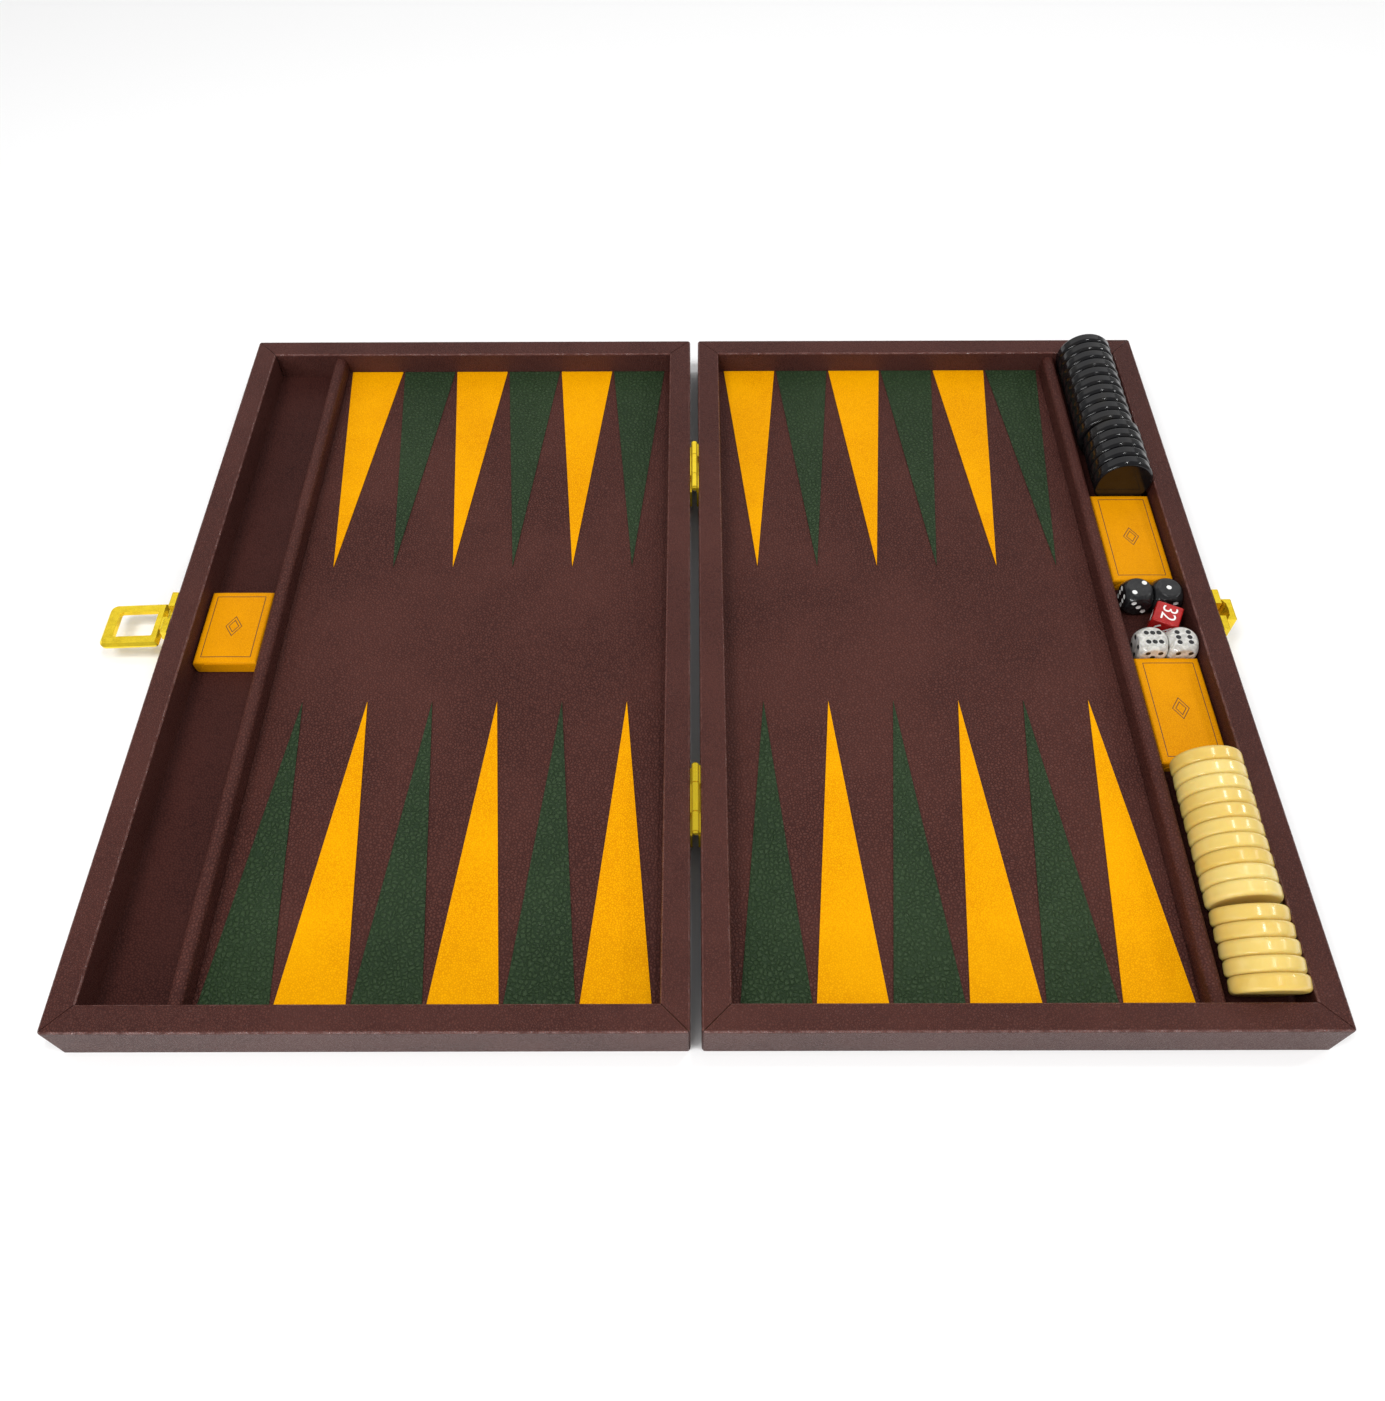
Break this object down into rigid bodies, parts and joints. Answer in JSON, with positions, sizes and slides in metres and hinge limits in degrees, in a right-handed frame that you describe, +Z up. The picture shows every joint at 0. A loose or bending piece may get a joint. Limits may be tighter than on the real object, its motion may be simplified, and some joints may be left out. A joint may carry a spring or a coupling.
{
  "type": "backgammon set",
  "caption": "Folding leather backgammon case lying open, with inlaid points, side trays of checkers, dice and a doubling cube, two barrel hinges and a swinging loop clasp.",
  "frame": {"origin": "on the table, midway between the two open halves, under the hinge line", "axes": "+X from the clasp half to the catch half, +Y to the back along the hinge line, +Z up"},
  "size_m": [0.5144, 0.38, 0.0348],
  "materials": {
    "brown_leather": "burgundy-brown leather with a fine pebbled grain and a soft sheen",
    "green_leather": "dark green grained leather",
    "yellow_leather": "golden-yellow smooth leather, satin",
    "frame_wood": "plain light wood under the leather",
    "brass": "polished gold-coloured cast brass",
    "black_checker": "glossy black",
    "ivory_checker": "glossy ivory",
    "black_die": "glossy black with white pips",
    "pearl_die": "pearl-grey swirl with black pips",
    "red_cube": "translucent red with white numerals"
  },
  "bodies": {
    "right_half": {"right_base_board": "brown_leather", "right_frame_rails": "frame_wood", "right_leather_wrap": "brown_leather", "right_field_panel": "brown_leather", "right_yellow_points": "yellow_leather", "right_green_points": "green_leather", "right_divider": "brown_leather", "right_screws": "brass", "right_tray_blocks": "yellow_leather", "hinge_right_leaves": "brass", "hinge_pins": "brass", "catch": "brass"},
    "left_half": {"left_base_board": "brown_leather", "left_frame_rails": "frame_wood", "left_leather_wrap": "brown_leather", "left_field_panel": "brown_leather", "left_yellow_points": "yellow_leather", "left_green_points": "green_leather", "left_divider": "brown_leather", "left_screws": "brass", "left_tray_block": "yellow_leather", "hinge_left_leaves": "brass", "clasp_base": "brass", "clasp_pin": "brass"},
    "clasp_swing": {"clasp_loop": "brass"},
    "black_checker_01_piece": {"black_checker_01": "black_checker"},
    "black_checker_02_piece": {"black_checker_02": "black_checker"},
    "black_checker_03_piece": {"black_checker_03": "black_checker"},
    "black_checker_04_piece": {"black_checker_04": "black_checker"},
    "black_checker_05_piece": {"black_checker_05": "black_checker"},
    "black_checker_06_piece": {"black_checker_06": "black_checker"},
    "black_checker_07_piece": {"black_checker_07": "black_checker"},
    "black_checker_08_piece": {"black_checker_08": "black_checker"},
    "black_checker_09_piece": {"black_checker_09": "black_checker"},
    "black_checker_10_piece": {"black_checker_10": "black_checker"},
    "black_checker_11_piece": {"black_checker_11": "black_checker"},
    "black_checker_12_piece": {"black_checker_12": "black_checker"},
    "black_checker_13_piece": {"black_checker_13": "black_checker"},
    "black_checker_14_piece": {"black_checker_14": "black_checker"},
    "black_checker_15_piece": {"black_checker_15": "black_checker"},
    "ivory_checker_01_piece": {"ivory_checker_01": "ivory_checker"},
    "ivory_checker_02_piece": {"ivory_checker_02": "ivory_checker"},
    "ivory_checker_03_piece": {"ivory_checker_03": "ivory_checker"},
    "ivory_checker_04_piece": {"ivory_checker_04": "ivory_checker"},
    "ivory_checker_05_piece": {"ivory_checker_05": "ivory_checker"},
    "ivory_checker_06_piece": {"ivory_checker_06": "ivory_checker"},
    "ivory_checker_07_piece": {"ivory_checker_07": "ivory_checker"},
    "ivory_checker_08_piece": {"ivory_checker_08": "ivory_checker"},
    "ivory_checker_09_piece": {"ivory_checker_09": "ivory_checker"},
    "ivory_checker_10_piece": {"ivory_checker_10": "ivory_checker"},
    "ivory_checker_11_piece": {"ivory_checker_11": "ivory_checker"},
    "ivory_checker_12_piece": {"ivory_checker_12": "ivory_checker"},
    "ivory_checker_13_piece": {"ivory_checker_13": "ivory_checker"},
    "ivory_checker_14_piece": {"ivory_checker_14": "ivory_checker"},
    "ivory_checker_15_piece": {"ivory_checker_15": "ivory_checker"},
    "black_die_1_piece": {"black_die_1": "black_die"},
    "black_die_2_piece": {"black_die_2": "black_die"},
    "pearl_die_1_piece": {"pearl_die_1": "pearl_die"},
    "pearl_die_2_piece": {"pearl_die_2": "pearl_die"},
    "doubling_cube_piece": {"doubling_cube": "red_cube"}
  },
  "joints": [
    {"name": "case_fold", "type": "hinge", "parent": "right_half", "child": "left_half", "pos_m": [0, 0, 0.02135], "axis": [0, -1, 0], "range_deg": [-180, 0]},
    {"name": "clasp", "type": "hinge", "parent": "left_half", "child": "clasp_swing", "pos_m": [-0.24055, 0.0028, 0.0117], "axis": [0, -1, 0], "range_deg": [-93, 0]},
    {"name": "black_checker_01_lift", "type": "slide", "parent": "right_half", "child": "black_checker_01_piece", "axis": [0, 0, 1], "range_m": [0, 0.045]},
    {"name": "black_checker_02_lift", "type": "slide", "parent": "right_half", "child": "black_checker_02_piece", "axis": [0, 0, 1], "range_m": [0, 0.045]},
    {"name": "black_checker_03_lift", "type": "slide", "parent": "right_half", "child": "black_checker_03_piece", "axis": [0, 0, 1], "range_m": [0, 0.045]},
    {"name": "black_checker_04_lift", "type": "slide", "parent": "right_half", "child": "black_checker_04_piece", "axis": [0, 0, 1], "range_m": [0, 0.045]},
    {"name": "black_checker_05_lift", "type": "slide", "parent": "right_half", "child": "black_checker_05_piece", "axis": [0, 0, 1], "range_m": [0, 0.045]},
    {"name": "black_checker_06_lift", "type": "slide", "parent": "right_half", "child": "black_checker_06_piece", "axis": [0, 0, 1], "range_m": [0, 0.045]},
    {"name": "black_checker_07_lift", "type": "slide", "parent": "right_half", "child": "black_checker_07_piece", "axis": [0, 0, 1], "range_m": [0, 0.045]},
    {"name": "black_checker_08_lift", "type": "slide", "parent": "right_half", "child": "black_checker_08_piece", "axis": [0, 0, 1], "range_m": [0, 0.045]},
    {"name": "black_checker_09_lift", "type": "slide", "parent": "right_half", "child": "black_checker_09_piece", "axis": [0, 0, 1], "range_m": [0, 0.045]},
    {"name": "black_checker_10_lift", "type": "slide", "parent": "right_half", "child": "black_checker_10_piece", "axis": [0, 0, 1], "range_m": [0, 0.045]},
    {"name": "black_checker_11_lift", "type": "slide", "parent": "right_half", "child": "black_checker_11_piece", "axis": [0, 0, 1], "range_m": [0, 0.045]},
    {"name": "black_checker_12_lift", "type": "slide", "parent": "right_half", "child": "black_checker_12_piece", "axis": [0, 0, 1], "range_m": [0, 0.045]},
    {"name": "black_checker_13_lift", "type": "slide", "parent": "right_half", "child": "black_checker_13_piece", "axis": [0, 0, 1], "range_m": [0, 0.045]},
    {"name": "black_checker_14_lift", "type": "slide", "parent": "right_half", "child": "black_checker_14_piece", "axis": [0, 0, 1], "range_m": [0, 0.045]},
    {"name": "black_checker_15_lift", "type": "slide", "parent": "right_half", "child": "black_checker_15_piece", "axis": [0, 0, 1], "range_m": [0, 0.045]},
    {"name": "ivory_checker_01_lift", "type": "slide", "parent": "right_half", "child": "ivory_checker_01_piece", "axis": [0, -0.1219, 0.9925], "range_m": [0, 0.045]},
    {"name": "ivory_checker_02_lift", "type": "slide", "parent": "right_half", "child": "ivory_checker_02_piece", "axis": [0, -0.1219, 0.9925], "range_m": [0, 0.045]},
    {"name": "ivory_checker_03_lift", "type": "slide", "parent": "right_half", "child": "ivory_checker_03_piece", "axis": [0, -0.1219, 0.9925], "range_m": [0, 0.045]},
    {"name": "ivory_checker_04_lift", "type": "slide", "parent": "right_half", "child": "ivory_checker_04_piece", "axis": [0, -0.1219, 0.9925], "range_m": [0, 0.045]},
    {"name": "ivory_checker_05_lift", "type": "slide", "parent": "right_half", "child": "ivory_checker_05_piece", "axis": [0, -0.1219, 0.9925], "range_m": [0, 0.045]},
    {"name": "ivory_checker_06_lift", "type": "slide", "parent": "right_half", "child": "ivory_checker_06_piece", "axis": [0, -0.1219, 0.9925], "range_m": [0, 0.045]},
    {"name": "ivory_checker_07_lift", "type": "slide", "parent": "right_half", "child": "ivory_checker_07_piece", "axis": [0, -0.1219, 0.9925], "range_m": [0, 0.045]},
    {"name": "ivory_checker_08_lift", "type": "slide", "parent": "right_half", "child": "ivory_checker_08_piece", "axis": [0, -0.1219, 0.9925], "range_m": [0, 0.045]},
    {"name": "ivory_checker_09_lift", "type": "slide", "parent": "right_half", "child": "ivory_checker_09_piece", "axis": [0, -0.1219, 0.9925], "range_m": [0, 0.045]},
    {"name": "ivory_checker_10_lift", "type": "slide", "parent": "right_half", "child": "ivory_checker_10_piece", "axis": [0, -0.1219, 0.9925], "range_m": [0, 0.045]},
    {"name": "ivory_checker_11_lift", "type": "slide", "parent": "right_half", "child": "ivory_checker_11_piece", "axis": [0, -0.2521, 0.9677], "range_m": [0, 0.045]},
    {"name": "ivory_checker_12_lift", "type": "slide", "parent": "right_half", "child": "ivory_checker_12_piece", "axis": [0, -0.2521, 0.9677], "range_m": [0, 0.045]},
    {"name": "ivory_checker_13_lift", "type": "slide", "parent": "right_half", "child": "ivory_checker_13_piece", "axis": [0, -0.2521, 0.9677], "range_m": [0, 0.045]},
    {"name": "ivory_checker_14_lift", "type": "slide", "parent": "right_half", "child": "ivory_checker_14_piece", "axis": [0, -0.2521, 0.9677], "range_m": [0, 0.045]},
    {"name": "ivory_checker_15_lift", "type": "slide", "parent": "right_half", "child": "ivory_checker_15_piece", "axis": [0, -0.2521, 0.9677], "range_m": [0, 0.045]},
    {"name": "black_die_1_lift", "type": "slide", "parent": "right_half", "child": "black_die_1_piece", "axis": [0, 0, 1], "range_m": [0, 0.045]},
    {"name": "black_die_2_lift", "type": "slide", "parent": "right_half", "child": "black_die_2_piece", "axis": [0, 0, 1], "range_m": [0, 0.045]},
    {"name": "pearl_die_1_lift", "type": "slide", "parent": "right_half", "child": "pearl_die_1_piece", "axis": [0, 0, 1], "range_m": [0, 0.045]},
    {"name": "pearl_die_2_lift", "type": "slide", "parent": "right_half", "child": "pearl_die_2_piece", "axis": [0, 0, 1], "range_m": [0, 0.045]},
    {"name": "doubling_cube_lift", "type": "slide", "parent": "right_half", "child": "doubling_cube_piece", "axis": [0, 0, 1], "range_m": [0, 0.045]}
  ]
}
